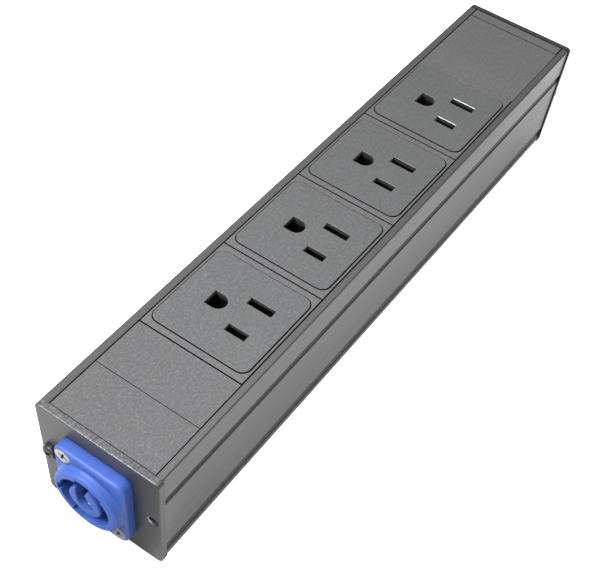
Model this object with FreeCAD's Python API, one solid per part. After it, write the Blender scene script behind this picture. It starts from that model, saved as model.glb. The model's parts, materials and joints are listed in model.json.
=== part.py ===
import FreeCAD, Part
import math
import os

# Rack power strip: an open-topped aluminium extrusion closed by snap-in plastic
# modules (blank covers and four three-pin outlets) and two flat end caps. A
# twist-lock mains inlet is screwed to the near cap.
#
# Frame, millimetres: X along the strip, away from the inlet, Y across it (the earth
# holes are on the +Y side), Z up. Everything is drawn with X = 0 at the near end of
# the extrusion, and save() moves it so that the origin is the middle of the
# extrusion's underside.

Vector = FreeCAD.Vector

# ------------------------------------------------------------ shared dimensions
BODY_L = 250.0          # cut length of the extrusion
BODY_W = 44.4           # one rack unit
BODY_H = 44.4
HALF_W = BODY_W / 2.0
WALL = 2.0              # side wall and floor
LIP = 1.8               # thickness of the lips that hold the modules down
SNAP_OUT = 20.7         # half width of the snap groove under the lips
SNAP_Z0 = 40.0          # lower side of the snap groove

BOSS = ((18.5, 24.2), (-19.8, 22.9))    # screw channels for the end caps, (Y, Z)
RIB_Y = (10.6, 17.4)                    # earth rib on the floor
RIB_TOP = 5.4
BOND_X, BOND_Y = 30.0, sum(RIB_Y) / 2.0     # earth bond screw, on the rib

CAP_T, FAR_T = 2.5, 1.9                 # near and far end cap plates

MOD_Z = BODY_H          # module faces are flush with the lips
MOD_HALF_Y = 19.1       # half width of the outlet modules
MOD_GAP = 0.25          # half of the usual joint between neighbours
TIGHT_GAP = 0.02        # at the one tight joint
BLANK_W = 19.7          # pitch of the two near blanks
SOCK_X0 = 2 * BLANK_W
SOCK_PITCH = 42.0
SOCK_COUNT = 4
SOCK_X1 = SOCK_X0 + SOCK_COUNT * SOCK_PITCH
STRIP_X0 = BODY_L - 5.0

SLOT_PITCH = 12.7       # outlet pattern, straight blades with a round earth pin
SLOT_Y = -6.35
EARTH_Y = SLOT_Y + 11.9

BUS_Z = (19.3, 20.1)
BUS_LINE_Y, BUS_NEUTRAL_Y, BUS_EARTH_Y = -9.0, -3.0, EARTH_Y

INLET_Z = BODY_H / 2.0
INLET_SCREWS = ((9.5, INLET_Z + 12.0), (-9.5, INLET_Z - 12.0))  # (Y, Z)
# line, neutral, earth, as (Y, Z)
TABS = ((-4.6, INLET_Z - 3.2), (4.6, INLET_Z - 3.2), (0.0, INLET_Z + 4.6))
PINS = ((-1.9, INLET_Z - 1.5), (1.5, INLET_Z - 1.5), (-1.75, INLET_Z + 1.0))  # in the core

OVER = 1.0              # how far cutters run past a face

os.makedirs("parts", exist_ok=True)


# --------------------------------------------------------------------- helpers
def box(x0, x1, y0, y1, z0, z1):
    return Part.makeBox(x1 - x0, y1 - y0, z1 - z0, Vector(x0, y0, z0))


def bar_x(x0, x1, y, z, half_y, half_z):
    """Box along X, centred on (y, z)."""
    return box(x0, x1, y - half_y, y + half_y, z - half_z, z + half_z)


def block_z(x, y, half_x, half_y, z0, z1):
    """Upright box, centred on (x, y)."""
    return box(x - half_x, x + half_x, y - half_y, y + half_y, z0, z1)


def bridge_x(x0, x1, start, end, half_y, half_z):
    """Box that takes in a bar at start and a bar at end, both (Y, Z)."""
    (ya, za), (yb, zb) = start, end
    return box(x0, x1, min(ya, yb) - half_y, max(ya, yb) + half_y,
               min(za, zb) - half_z, max(za, zb) + half_z)


def cyl_x(x, y, z, radius, length):
    return Part.makeCylinder(radius, length, Vector(x, y, z), Vector(1, 0, 0))


def cyl_z(x, y, z, radius, height):
    return Part.makeCylinder(radius, height, Vector(x, y, z), Vector(0, 0, 1))


def closed_face(points):
    return Part.Face(Part.makePolygon(points + points[:1]))


def prism_x(points, x0, x1):
    """Polygon in Y, Z drawn out along X."""
    return closed_face([Vector(x0, y, z) for y, z in points]).extrude(Vector(x1 - x0, 0, 0))


def rounded_block(x, y, half_x, half_y, radius, z0, z1):
    """Upright block with rounded vertical corners."""
    block = block_z(x, y, half_x, half_y, z0, z1)
    edges = [e for e in block.Edges if abs(e.Vertexes[0].X - e.Vertexes[1].X) < 1e-6
             and abs(e.Vertexes[0].Y - e.Vertexes[1].Y) < 1e-6]
    return block.makeFillet(radius, edges)


def edges_at(shape, axis, value):
    """Edges that lie wholly in the plane axis = value."""
    return [e for e in shape.Edges
            if abs(getattr(e.BoundBox, axis + "Min") - value) < 1e-6
            and abs(getattr(e.BoundBox, axis + "Max") - value) < 1e-6]


def cross_x(x0, x1, y, z, length, width, turn):
    """Cross-recess cutter for a screw whose axis is X."""
    cross = bar_x(x0, x1, y, z, length / 2, width / 2).fuse(
        bar_x(x0, x1, y, z, width / 2, length / 2))
    cross.rotate(Vector(x0, y, z), Vector(1, 0, 0), turn)
    return cross


def wire_run(points, radius, start_len, end_len):
    """Round wire, straight along X at both ends and smooth through the points."""
    points = [Vector(*p) for p in points]
    curve = Part.BSplineCurve()
    curve.interpolate(Points=points, InitialTangent=Vector(12, 0, 0),
                      FinalTangent=Vector(12, 0, 0))
    first = points[0] - Vector(start_len, 0, 0)
    last = points[-1] + Vector(end_len, 0, 0)
    path = Part.Wire([Part.makeLine(first, points[0]), curve.toShape(),
                      Part.makeLine(points[-1], last)])
    section = Part.Wire([Part.makeCircle(radius, first, Vector(1, 0, 0))])
    return path.makePipeShell([section], True, False)


def save(name, shape):
    shape = shape.removeSplitter()
    shape.translate(Vector(-BODY_L / 2.0, 0, 0))
    # repairs any shape that the booleans leave invalid
    if not shape.isValid():
        shape.fix(1e-4, 1e-5, 1e-3)
    solids = shape.Solids
    out = solids[0] if len(solids) == 1 else Part.makeCompound(solids)
    out.exportStep("parts/%s.step" % name)


# --------------------------------------------------------------- extruded body
MOUTH = 19.5            # half width of the open channel at the top
LEDGE_T = 1.4           # ledge under the snap groove
LEDGE_SLOPE = 0.7       # drop of the ledge's underside towards the wall
FLOOR_BEVEL = 0.8       # inside corner between wall and floor
# side grooves: lower edge, upper edge, lower sides of the slits in the floor
GROOVES = ((2.8, 7.4, (3.3, 4.6, 5.95)),
           (30.4, 34.0, (30.65, 31.65, 32.6)))
GROOVE_D = 0.35
SLIT_D, SLIT_W = 0.9, 0.38
EDGE_LINE = (21.7, 22.0)    # shadow line along the outer edge of the -Y lip
EDGE_LINE_D = 0.12
CORNER_BOT = 1.3
OUTER_BREAK, MOUTH_BREAK = 0.08, 0.12   # bevels on the edges of the lip
BOSS_R, BOSS_HOLE_R = 2.5, 1.25
BOSS_INSET = 0.7        # bosses stop this far inside the outer faces
WEB_INSET = 1.0         # and so do the webs that join them to the walls
RIB_ROOT, RIB_TAPER = 0.5, 0.5
BOND_HOLE_R, BOND_HOLE_Z = 1.65, 1.6


def groove_points(z0, z1, slits):
    """Shallow side groove from the bottom up, with fine slits in its floor."""
    points, floor = [(HALF_W, z0)], HALF_W - GROOVE_D
    for z in slits:
        points += [(floor, z), (HALF_W - SLIT_D, z), (HALF_W - SLIT_D, z + SLIT_W),
                   (floor, z + SLIT_W)]
    return points + [(floor, z1), (HALF_W, z1)]


def half_outline(edge_line):
    """Half section for +Y: up the outside from the bottom centre, down the inside."""
    points = [(0, 0), (HALF_W - CORNER_BOT, 0)]
    for k in range(1, 6):
        angle = math.radians(-90 + 18 * k)
        points.append((HALF_W - CORNER_BOT + CORNER_BOT * math.cos(angle),
                       CORNER_BOT + CORNER_BOT * math.sin(angle)))
    for groove in GROOVES:
        points += groove_points(*groove)
    points += [(HALF_W, BODY_H - OUTER_BREAK), (HALF_W - OUTER_BREAK, BODY_H)]
    if edge_line:
        inner, outer = EDGE_LINE
        points += [(outer, BODY_H), (outer, BODY_H - EDGE_LINE_D),
                   (inner, BODY_H - EDGE_LINE_D), (inner, BODY_H)]
    wall_y = HALF_W - WALL
    return points + [
        (MOUTH + MOUTH_BREAK, BODY_H), (MOUTH, BODY_H - MOUTH_BREAK),
        (MOUTH, BODY_H - LIP), (SNAP_OUT, BODY_H - LIP),
        (SNAP_OUT, SNAP_Z0), (MOUTH, SNAP_Z0),
        (MOUTH, SNAP_Z0 - LEDGE_T), (wall_y, SNAP_Z0 - LEDGE_T - LEDGE_SLOPE),
        (wall_y, WALL + FLOOR_BEVEL), (wall_y - FLOOR_BEVEL, WALL), (0, WALL)]


def extruded_body():
    plus_y = prism_x(half_outline(False), 0, BODY_L)
    minus_y = prism_x(half_outline(True), 0, BODY_L).mirror(Vector(0, 0, 0), Vector(0, 1, 0))
    body = minus_y.fuse(plus_y)
    boss_limit = HALF_W - BOSS_INSET
    for y, z in BOSS:
        boss = cyl_x(0, y, z, BOSS_R, BODY_L).common(
            box(0, BODY_L, -boss_limit, boss_limit, 0, BODY_H))
        wall = math.copysign(HALF_W - WEB_INSET, y)
        web = box(0, BODY_L, min(y, wall), max(y, wall), z - BOSS_R, z + BOSS_R)
        body = body.fuse(boss).fuse(web)
    y0, y1 = RIB_Y
    body = body.fuse(prism_x([(y0, WALL - RIB_ROOT), (y1, WALL - RIB_ROOT),
                              (y1 - RIB_TAPER, RIB_TOP), (y0 + RIB_TAPER, RIB_TOP)], 0, BODY_L))
    for y, z in BOSS:
        body = body.cut(cyl_x(-OVER, y, z, BOSS_HOLE_R, BODY_L + 2 * OVER))
    return body.cut(cyl_z(BOND_X, BOND_Y, BOND_HOLE_Z, BOND_HOLE_R, 10))


save("extruded_body", extruded_body())

# -------------------------------------------------------- end caps, cap screws
CAP_PROUD = 0.45        # how far the plates stand out past the extrusion
CAP_DROP = 0.6          # and below it
CAP_R_TOP, CAP_R_BOT = 1.8, 2.1
CAP_EDGE_R = 0.35
CAP_HOLE_R = 1.9
CUTOUT_R = 12.0         # opening for the inlet
INLET_SCREW_HOLE_R = 1.7

PAN_HEAD_R, PAN_HEAD_H, PAN_FILLET = 2.8, 2.0, 1.05
PAN_SHANK_R, PAN_LENGTH = 1.24, 9.0
PAN_TIP_R, PAN_TIP_L = 0.35, 1.2
PAN_RECESS = 1.2        # depth of the cross recess


def cap_plate(inner_x, outer_x):
    x0, x1 = sorted((inner_x, outer_x))
    z0, z1 = -CAP_DROP, BODY_H + CAP_PROUD
    plate = box(x0, x1, -HALF_W - CAP_PROUD, HALF_W + CAP_PROUD, z0, z1)
    for z, radius in ((z1, CAP_R_TOP), (z0, CAP_R_BOT)):
        corners = []
        for e in plate.Edges:
            start, end = e.Vertexes[0].Point, e.Vertexes[1].Point
            if (abs(start.y - end.y) < 1e-6 and abs(start.z - end.z) < 1e-6
                    and abs(start.z - z) < 1e-6):
                corners.append(e)
        plate = plate.makeFillet(radius, corners)
    plate = plate.makeFillet(CAP_EDGE_R, edges_at(plate, "X", outer_x))
    for y, z in BOSS:
        plate = plate.cut(cyl_x(x0 - OVER, y, z, CAP_HOLE_R, CAP_T + 2 * OVER))
    return plate


def near_end_cap():
    cap = cap_plate(0.0, -CAP_T)
    cap = cap.cut(cyl_x(-CAP_T - OVER, 0, INLET_Z, CUTOUT_R, CAP_T + 2 * OVER))
    for y, z in INLET_SCREWS:
        cap = cap.cut(cyl_x(-CAP_T - OVER, y, z, INLET_SCREW_HOLE_R, CAP_T + 2 * OVER))
    return cap


def pan_screw(seat_x, sign, y, z):
    """Pan-head cross-recess screw; sign is the way the head points along X."""
    seat, outward, inward = Vector(seat_x, y, z), Vector(sign, 0, 0), Vector(-sign, 0, 0)
    head = Part.makeCylinder(PAN_HEAD_R, PAN_HEAD_H, seat, outward)
    head = head.makeFillet(PAN_FILLET, edges_at(head, "X", seat_x + sign * PAN_HEAD_H))
    straight = PAN_LENGTH - PAN_TIP_L
    shank = Part.makeCylinder(PAN_SHANK_R, straight, seat, inward)
    tip = Part.makeCone(PAN_SHANK_R, PAN_TIP_R, PAN_TIP_L,
                        Vector(seat_x - sign * straight, y, z), inward)
    x0, x1 = sorted((seat_x + sign * (PAN_HEAD_H - PAN_RECESS),
                     seat_x + sign * (PAN_HEAD_H + OVER)))
    return head.fuse(shank).fuse(tip).cut(
        cross_x(x0, x1, y, z, length=3.1, width=0.75, turn=45))


save("near_end_cap", near_end_cap())
save("far_end_cap", cap_plate(BODY_L, BODY_L + FAR_T))
save("near_cap_screw", pan_screw(-CAP_T, -1, *BOSS[0]))
save("far_cap_screws", Part.makeCompound([pan_screw(BODY_L + FAR_T, 1, y, z) for y, z in BOSS]))

# --------------------------------------------------------------- blank covers
BLANK_T = 2.0
RIM_R = 0.1             # rounding of a module's rim
TAB_W = 6.0
TAB_ROOT = 0.3          # how far a tab starts inside the module's side
TAB_CLEAR_Y, TAB_CLEAR_Z = 0.35, 0.06   # to the snap groove
TAB_EASE = (0.5, 0.6)   # bevel under the tab, Y and Z
SKIRT_T, SKIRT_Z0, SKIRT_INSET = 1.5, 37.0, 0.6
STIFF_HALF_T, STIFF_Z0 = 0.5, 39.4      # cross ribs under the plate
STIFF_INSET, STIFF_PITCH = 1.2, 12
SINK = 0.2              # overlap of skirts and ribs with the plate

# name, near and far X, gap at the near and far end, half width on the -Y side
BLANKS = (
    ("near_blank_a", 0.0, BLANK_W, 0.35, 0.1, 19.25),
    ("near_blank_b", BLANK_W, SOCK_X0, 0.1, MOD_GAP, 19.2),
    ("far_blank", SOCK_X1, STRIP_X0, TIGHT_GAP, 0.2, 19.42),
    ("end_filler_strip", STRIP_X0, BODY_L, 0.2, 0.22, MOD_HALF_Y),
)


def tab(x, width, side):
    """Hook that sits in the snap groove, flat on both sides, bevelled below."""
    y_in, y_out = MOD_HALF_Y - TAB_ROOT, SNAP_OUT - TAB_CLEAR_Y
    z0, z1 = SNAP_Z0 + TAB_CLEAR_Z, BODY_H - LIP - TAB_CLEAR_Z
    points = [(y_in, z0), (y_out - TAB_EASE[0], z0), (y_out, z0 + TAB_EASE[1]),
              (y_out, z1), (y_in, z1)]
    return prism_x([(side * y, z) for y, z in points], x - width / 2, x + width / 2)


def ease_rim(plate, sharp_x=None):
    """Round the top edges of a plain plate, but leave the one at X = sharp_x."""
    rim = edges_at(plate, "Z", MOD_Z)
    if sharp_x is not None:
        rim = [e for e in rim if not (abs(e.BoundBox.XMin - sharp_x) < 1e-6
                                      and abs(e.BoundBox.XMax - sharp_x) < 1e-6)]
    return plate.makeFillet(RIM_R, rim)


def blank(near_x, far_x, near_gap, far_gap, minus_y):
    x0, x1 = near_x + near_gap, far_x - far_gap
    length = x1 - x0
    cover = box(x0, x1, -minus_y, MOD_HALF_Y, MOD_Z - BLANK_T, MOD_Z)
    cover = ease_rim(cover, x0 if near_gap == TIGHT_GAP else None)
    under = MOD_Z - BLANK_T + SINK
    tab_w = min(TAB_W, length - 2.0)
    tab_count = 2 if length > 30 else 1
    for side in (-1, 1):
        y0, y1 = sorted((side * MOD_HALF_Y, side * (MOD_HALF_Y - SKIRT_T)))
        cover = cover.fuse(box(x0 + SKIRT_INSET, x1 - SKIRT_INSET, y0, y1, SKIRT_Z0, under))
        for k in range(tab_count):
            cover = cover.fuse(tab(x0 + length * (k + 0.5) / tab_count, tab_w, side))
    rib_count = int(length // STIFF_PITCH)
    for k in range(rib_count):
        cover = cover.fuse(block_z(x0 + length * (k + 0.5) / rib_count, 0, STIFF_HALF_T,
                                   MOD_HALF_Y - STIFF_INSET, STIFF_Z0, under))
    return cover


for name, *sizes in BLANKS:
    save(name, blank(*sizes))

# ------------------------------------------------------ outlet frame and face
INS_T = 2.5                             # depth of the face insert below the module top
SEAT_Z = MOD_Z - INS_T
SEAT_GAP = 0.05
INS_HX, INS_HY, INS_R = 18.2, 18.1, 3.2     # insert, half sizes and corner
INS_GAP = 0.34
INS_DX, INS_DY = 0.13, 0.12             # the insert sits off centre in its opening
INS_DX_LAST = 0.21                      # more so in the last outlet
INS_UP = 0.15                           # and stands a little proud
INS_RIM_R = 0.15
FRAME_Z0 = 36.4
FRAME_INSET = 0.4                       # lower part, at each end
FRAME_OPENING = (17.5, 17.3, 2.4)       # half X, half Y, corner
FRAME_TAB_DX = 12.0
KEY_OUTER = (17.3, 17.1, 2.2)           # skirt under the face, as above
KEY_INNER = (16.0, 15.6, 1.2)
KEY_H = 2.6

SLOT_W = 2.9
BLADES = ((-SLOT_PITCH / 2, 7.5), (SLOT_PITCH / 2, 9.2))    # line, neutral: X, slot length
EARTH_W = 6.2
SLOT_WALL = 1.4                         # thickness left round the holes
BLADE_MARGIN, EARTH_MARGIN = 0.9, 0.5   # pockets behind the holes
LEAD_IN = 0.15                          # chamfer on every hole
LEAD_OVER = 0.2                         # its cutter runs on above the face
HOLE_DEPTH = 6


def socket_frame(x, far_gap):
    x0, x1 = x - SOCK_PITCH / 2.0 + MOD_GAP, x + SOCK_PITCH / 2.0 - far_gap
    frame = box(x0, x1, -MOD_HALF_Y, MOD_HALF_Y, SEAT_Z, MOD_Z)
    frame = ease_rim(frame, x1 if far_gap == TIGHT_GAP else None)
    frame = frame.fuse(box(x0 + FRAME_INSET, x1 - FRAME_INSET, -MOD_HALF_Y, MOD_HALF_Y,
                           FRAME_Z0, SEAT_Z + 0.1))
    frame = frame.cut(rounded_block(x, 0, INS_HX + INS_GAP, INS_HY + INS_GAP, INS_R + INS_GAP,
                                    SEAT_Z - SEAT_GAP, MOD_Z + OVER))
    frame = frame.cut(rounded_block(x, 0, *FRAME_OPENING, FRAME_Z0 - OVER, MOD_Z))
    for side in (-1, 1):
        for dx in (-FRAME_TAB_DX, FRAME_TAB_DX):
            frame = frame.fuse(tab(x + dx, TAB_W, side))
    return frame


def slot_wire(x, length, z, grow=0.0):
    """Outline of a blade slot."""
    dx, dy = SLOT_W / 2 + grow, length / 2 + grow
    corners = [(-dx, -dy), (dx, -dy), (dx, dy), (-dx, dy), (-dx, -dy)]
    return Part.makePolygon([Vector(x + a, SLOT_Y + b, z) for a, b in corners])


def earth_wire_outline(x, z, grow=0.0):
    """Outline of the earth hole: straight on +Y, round on -Y."""
    radius = EARTH_W / 2.0 + grow
    top_right = Vector(x + radius, EARTH_Y + radius, z)
    top_left = Vector(x - radius, EARTH_Y + radius, z)
    left, right = Vector(x - radius, EARTH_Y, z), Vector(x + radius, EARTH_Y, z)
    arc = Part.Arc(left, Vector(x, EARTH_Y - radius, z), right).toShape()
    return Part.Wire([Part.makeLine(top_right, top_left), Part.makeLine(top_left, left),
                      arc, Part.makeLine(right, top_right)])


def hole_cutter(outline, top):
    """Cutter with a lead-in at its mouth; outline(z, grow) gives its section."""
    shaft = Part.Face(Part.Wire(outline(top - HOLE_DEPTH, 0.0))).extrude(
        Vector(0, 0, HOLE_DEPTH + OVER))
    low = outline(top - LEAD_IN, 0.0)
    high = outline(top + LEAD_OVER, LEAD_IN + LEAD_OVER)
    return shaft.fuse(Part.makeLoft([low, high], True, True))


def socket_face(x, offset_x):
    top = MOD_Z + INS_UP
    face = rounded_block(x + offset_x, INS_DY, INS_HX, INS_HY, INS_R, SEAT_Z, top)
    face = face.makeFillet(INS_RIM_R, edges_at(face, "Z", top))
    # skirt that keys the face into the frame below its ledge
    skirt = rounded_block(x, 0, *KEY_OUTER, SEAT_Z - KEY_H, SEAT_Z + 0.1)
    skirt = skirt.cut(rounded_block(x, 0, *KEY_INNER, SEAT_Z - KEY_H - OVER, SEAT_Z))
    face = face.fuse(skirt)
    # pockets behind the holes leave a thin wall at the face
    z0, z1 = SEAT_Z - OVER, top - SLOT_WALL
    for dx, length in BLADES:
        face = face.cut(block_z(x + dx, SLOT_Y, SLOT_W / 2 + BLADE_MARGIN,
                                length / 2 + BLADE_MARGIN, z0, z1))
    half = EARTH_W / 2 + EARTH_MARGIN
    face = face.cut(block_z(x, EARTH_Y, half, half, z0, z1))
    for dx, length in BLADES:
        face = face.cut(hole_cutter(lambda z, grow: slot_wire(x + dx, length, z, grow), top))
    return face.cut(hole_cutter(lambda z, grow: earth_wire_outline(x, z, grow), top))


# --------------------------------------------------- outlet base and contacts
BASE_HX, BASE_HY, BASE_R = 15.6, 15.3, 1.0
BASE_Z0 = 22.0
BASE_TOP = SEAT_Z - SEAT_GAP
BASE_FLOOR_Z = BASE_Z0 + 1.9
# contact wells: X from the outlet's centre, Y, half X, half Y, Y of the tail slit
WELLS = (
    (-SLOT_PITCH / 2, SLOT_Y, 2.6, 5.2, BUS_LINE_Y),
    (SLOT_PITCH / 2, SLOT_Y, 2.6, 5.9, BUS_NEUTRAL_Y),
    (0.0, EARTH_Y, 3.4, 4.2, BUS_EARTH_Y),
)
# weight-saving wells on both sides: outer and inner distance in X, then Y range
SIDE_WELLS = ((14.2, 5.2, 4.6, 14.0), (14.2, 10.4, -14.0, 3.2))
TAIL_SLIT = (0.55, 1.5)                 # half X, half Y

CONTACT_Z0 = BASE_FLOOR_Z + 0.1
CONTACT_TOP = 36.4
TAIL = (0.3, 1.2)                       # half X, half Y
LEAF_T = 0.6
LEAF_GAP = 0.85                         # half the space between the leaves
LEAF_FLARE, LEAF_FLARE_H = 0.5, 3.0
LINE_HALF_L, NEUTRAL_HALF_L = 3.4, 4.2
TUBE_R, TUBE_BORE_R, TUBE_FLOOR = 3.1, 2.55, 0.7


def socket_base(x):
    """Open-topped cup with three contact wells."""
    base = rounded_block(x, 0, BASE_HX, BASE_HY, BASE_R, BASE_Z0, BASE_TOP)
    for dx, y, half_x, half_y, _ in WELLS:
        base = base.cut(block_z(x + dx, y, half_x, half_y, BASE_FLOOR_Z, BASE_TOP + OVER))
    for side in (-1, 1):
        for outer, inner, y0, y1 in SIDE_WELLS:
            x0, x1 = sorted((x + side * outer, x + side * inner))
            base = base.cut(box(x0, x1, y0, y1, BASE_FLOOR_Z, BASE_TOP + OVER))
    # slits in the floor for the contact tails
    for dx, _, _, _, tail_y in WELLS:
        base = base.cut(block_z(x + dx, tail_y, *TAIL_SLIT, BASE_Z0 - OVER,
                                BASE_FLOOR_Z + OVER))
    return base


def contact_tail(x, y):
    """Strip from a contact down to its busbar."""
    return block_z(x, y, *TAIL, BUS_Z[1], CONTACT_Z0 + 0.2)


def leaf_contact(x, half_len, tail_y):
    """Folded strip: two sprung leaves that grip a blade, on one tail."""
    inner, outer = LEAF_GAP, LEAF_GAP + LEAF_T
    bend = CONTACT_TOP - LEAF_FLARE_H
    profile = [(-outer, CONTACT_Z0), (outer, CONTACT_Z0), (outer, bend),
               (outer + LEAF_FLARE, CONTACT_TOP), (inner + LEAF_FLARE, CONTACT_TOP),
               (inner, bend), (inner, CONTACT_Z0 + LEAF_T),
               (-inner, CONTACT_Z0 + LEAF_T), (-inner, bend),
               (-inner - LEAF_FLARE, CONTACT_TOP), (-outer - LEAF_FLARE, CONTACT_TOP),
               (-outer, bend)]
    leaves = closed_face([Vector(x + dx, SLOT_Y - half_len, z) for dx, z in profile])
    return leaves.extrude(Vector(0, 2 * half_len, 0)).fuse(contact_tail(x, tail_y))


def tube_contact(x):
    """Round sleeve for the earth pin, slit on its +Y side and crosswise along X."""
    y, top = EARTH_Y, CONTACT_TOP + OVER
    tube = cyl_z(x, y, CONTACT_Z0, TUBE_R, CONTACT_TOP - CONTACT_Z0)
    tube = tube.cut(cyl_z(x, y, CONTACT_Z0 + TUBE_FLOOR, TUBE_BORE_R, CONTACT_TOP))
    tube = tube.cut(box(x - 0.5, x + 0.5, y, y + 5, CONTACT_Z0 + 4, top))
    tube = tube.cut(block_z(x, y, 5, 0.35, CONTACT_Z0 + 7, top))
    return tube.fuse(contact_tail(x, y))


for n in range(1, SOCK_COUNT + 1):
    x = SOCK_X0 + SOCK_PITCH * (n - 0.5)
    last = n == SOCK_COUNT
    save("socket_frame_%d" % n, socket_frame(x, TIGHT_GAP if last else MOD_GAP))
    save("socket_face_%d" % n, socket_face(x, INS_DX_LAST if last else INS_DX))
    save("socket_base_%d" % n, socket_base(x))
    save("line_contact_%d" % n, leaf_contact(x - SLOT_PITCH / 2, LINE_HALF_L, BUS_LINE_Y))
    save("neutral_contact_%d" % n,
         leaf_contact(x + SLOT_PITCH / 2, NEUTRAL_HALF_L, BUS_NEUTRAL_Y))
    save("earth_contact_%d" % n, tube_contact(x))

# --------------------------------------------------- busbars and floor liner
BUS_X = (38.0, 204.0)
BUS_HALF_W, BUS_CORNER_R = 1.6, 0.7

for name, y in (("line_busbar", BUS_LINE_Y), ("neutral_busbar", BUS_NEUTRAL_Y),
                ("earth_busbar", BUS_EARTH_Y)):
    save(name, rounded_block(sum(BUS_X) / 2, y, (BUS_X[1] - BUS_X[0]) / 2,
                             BUS_HALF_W, BUS_CORNER_R, *BUS_Z))

# insulating sheet on the floor, turned up the -Y wall: (Y, Z)
LINER = [(-20.0, 2.95), (-19.25, 2.2), (9.9, 2.2), (9.9, 2.6),
         (-19.1, 2.6), (-19.6, 3.1), (-19.6, 19.9), (-20.0, 19.9)]
LINER_INSET = 1.0       # from each end of the extrusion
save("insulating_liner", prism_x(LINER, LINER_INSET, BODY_L - LINER_INSET))

# ---------------------------------------------------------------- mains inlet
FL_W, FL_H, FL_T = 26.0, 31.0, 4.3      # flange
FL_R, FL_FILLET = 3.2, 1.15
RING_R, RING_OUT, RING_FILLET = 12.0, 2.9, 1.35
FLARE_R, FLARE_H = 0.75, 2.0            # concave blend between ring and flange
FLARE_STEPS = 12
BORE_R = 9.3
BORE_X1 = 10.0                          # closed end of the bore
BARREL_R, BARREL_X1 = 11.75, 16.0
# keyways in the bore: first and last angle from -Y towards +Z, radius
KEYS = ((46, 105, 10.45), (-122, -100, 10.2), (170, 190, 10.2))
KEY_DEPTH = 12.0
FL_HOLE_R, SINK_R, SINK_H = 1.65, 3.15, 1.75    # screw holes, countersunk

X_FLANGE = -CAP_T - FL_T                # front of the flange
X_RIM = X_FLANGE - RING_OUT             # front of the ring

CORE_R, CORE_FILLET = 6.0, 0.45
X_CORE = X_RIM + 0.12                   # front of the core
PIT_R, PIT_Y, PIT_Z = 3.0, -0.2, INLET_Z - 0.35     # hollow in the core
PIT_DEPTH = 12.0
PIT_SLOT = (-1.0, 3.05)                 # Y range of the slot that opens it upwards
PIT_SLOT_DEPTH = 11.0

PIN_HALF = (0.8, 0.4)                   # half Y, half Z of the contact bars
TAB_HALF = (2.35, 0.4)
CRANK_X = (10.1, 10.7)
PIN_X1, TAB_X1 = 10.6, 25.0


def keyway(angle0, angle1, radius):
    points = [(0.0, INLET_Z)]
    for i in range(9):
        angle = math.radians(angle0 + (angle1 - angle0) * i / 8.0)
        points.append((-radius * math.cos(angle), INLET_Z + radius * math.sin(angle)))
    return prism_x(points, X_RIM - OVER, X_RIM + KEY_DEPTH)


def ring_flare():
    """Concave blend at the foot of the ring, trimmed to the sides of the flange."""
    back = X_FLANGE + 0.8
    profile = [(back, 0.0), (back, RING_R + FLARE_R)]
    for i in range(FLARE_STEPS + 1):
        angle = math.radians(90.0 * i / FLARE_STEPS)
        profile.append((X_FLANGE + 0.02 - FLARE_H * (1 - math.cos(angle)),
                        RING_R + FLARE_R * (1 - math.sin(angle))))
    profile.append((profile[-1][0], 0.0))
    face = closed_face([Vector(x, 0, INLET_Z + radius) for x, radius in profile])
    flare = face.revolve(Vector(0, 0, INLET_Z), Vector(1, 0, 0), 360)
    return flare.common(bar_x(X_RIM, -CAP_T, 0, INLET_Z, FL_W / 2 - 0.02, FL_H / 2))


def inlet_housing():
    flange = bar_x(X_FLANGE, -CAP_T, 0, INLET_Z, FL_W / 2, FL_H / 2)
    flange = flange.makeFillet(
        FL_R, [e for e in flange.Edges if e.BoundBox.XLength > FL_T - 0.01])
    flange = flange.makeFillet(FL_FILLET, edges_at(flange, "X", X_FLANGE))
    ring = cyl_x(X_RIM, 0, INLET_Z, RING_R, RING_OUT + 1.0)
    ring = ring.makeFillet(RING_FILLET, edges_at(ring, "X", X_RIM))
    barrel_x0 = -CAP_T - 0.5
    barrel = cyl_x(barrel_x0, 0, INLET_Z, BARREL_R, BARREL_X1 - barrel_x0)
    housing = flange.fuse(ring_flare()).fuse(ring).fuse(barrel)
    housing = housing.cut(cyl_x(X_RIM - OVER, 0, INLET_Z, BORE_R, BORE_X1 - X_RIM + OVER))
    for key in KEYS:
        housing = housing.cut(keyway(*key))
    for y, z in INLET_SCREWS:
        housing = housing.cut(cyl_x(X_FLANGE - OVER, y, z, FL_HOLE_R, FL_T + 2 * OVER))
        housing = housing.cut(Part.makeCone(SINK_R, FL_HOLE_R, SINK_H,
                                            Vector(X_FLANGE - 0.01, y, z), Vector(1, 0, 0)))
    # slits for the three contact tabs, with pockets for their cranks
    for end, pin in zip(TABS, PINS):
        housing = housing.cut(bar_x(BORE_X1 - OVER, BARREL_X1 + OVER, *end, 2.45, 0.5))
        housing = housing.cut(bridge_x(BORE_X1 - OVER, 10.9, pin, end, 0.95, 0.5))
    return housing


def inlet_core():
    core = cyl_x(X_CORE, 0, INLET_Z, CORE_R, BORE_X1 - X_CORE)
    core = core.makeFillet(CORE_FILLET, edges_at(core, "X", X_CORE))
    core = core.cut(cyl_x(X_CORE - OVER, PIT_Y, PIT_Z, PIT_R, PIT_DEPTH + OVER))
    core = core.cut(box(X_CORE - OVER, X_CORE + PIT_SLOT_DEPTH, *PIT_SLOT,
                        INLET_Z + 0.4, INLET_Z + 9))
    # passages for the contacts through the solid rear of the core
    for pin in PINS:
        core = core.cut(bar_x(X_CORE + PIT_SLOT_DEPTH, BORE_X1 + OVER, *pin, 0.95, 0.55))
    return core


def slim_pin(pin):
    return bar_x(X_RIM + 2.2, PIN_X1, *pin, *PIN_HALF)


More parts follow.
